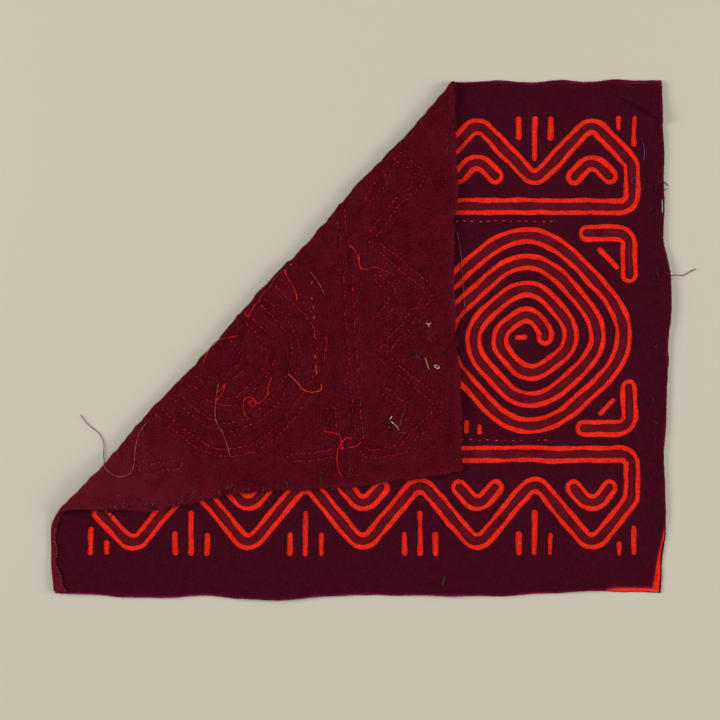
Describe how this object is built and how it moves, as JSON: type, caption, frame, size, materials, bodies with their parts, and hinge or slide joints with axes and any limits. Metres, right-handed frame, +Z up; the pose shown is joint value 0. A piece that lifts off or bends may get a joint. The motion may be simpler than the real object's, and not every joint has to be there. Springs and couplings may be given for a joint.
{
  "type": "folded mola panel",
  "caption": "Reverse-applique mola panel of three cotton cloths, lying flat with one corner half folded over along a diagonal.",
  "frame": {"origin": "on the surface the panel lies on, under the middle of its box", "axes": "+X along the panel's long side, +Y away from the viewer, +Z up out of the surface"},
  "size_m": [0.4338, 0.3626, 0.0103],
  "materials": {
    "base_cotton": "matte woven",
    "middle_cotton": "matte woven",
    "top_cotton": "matte woven"
  },
  "bodies": {
    "root": {"base_cloth": "base_cotton", "middle_cloth": "middle_cotton", "top_cloth": "top_cotton"}
  },
  "joints": []
}
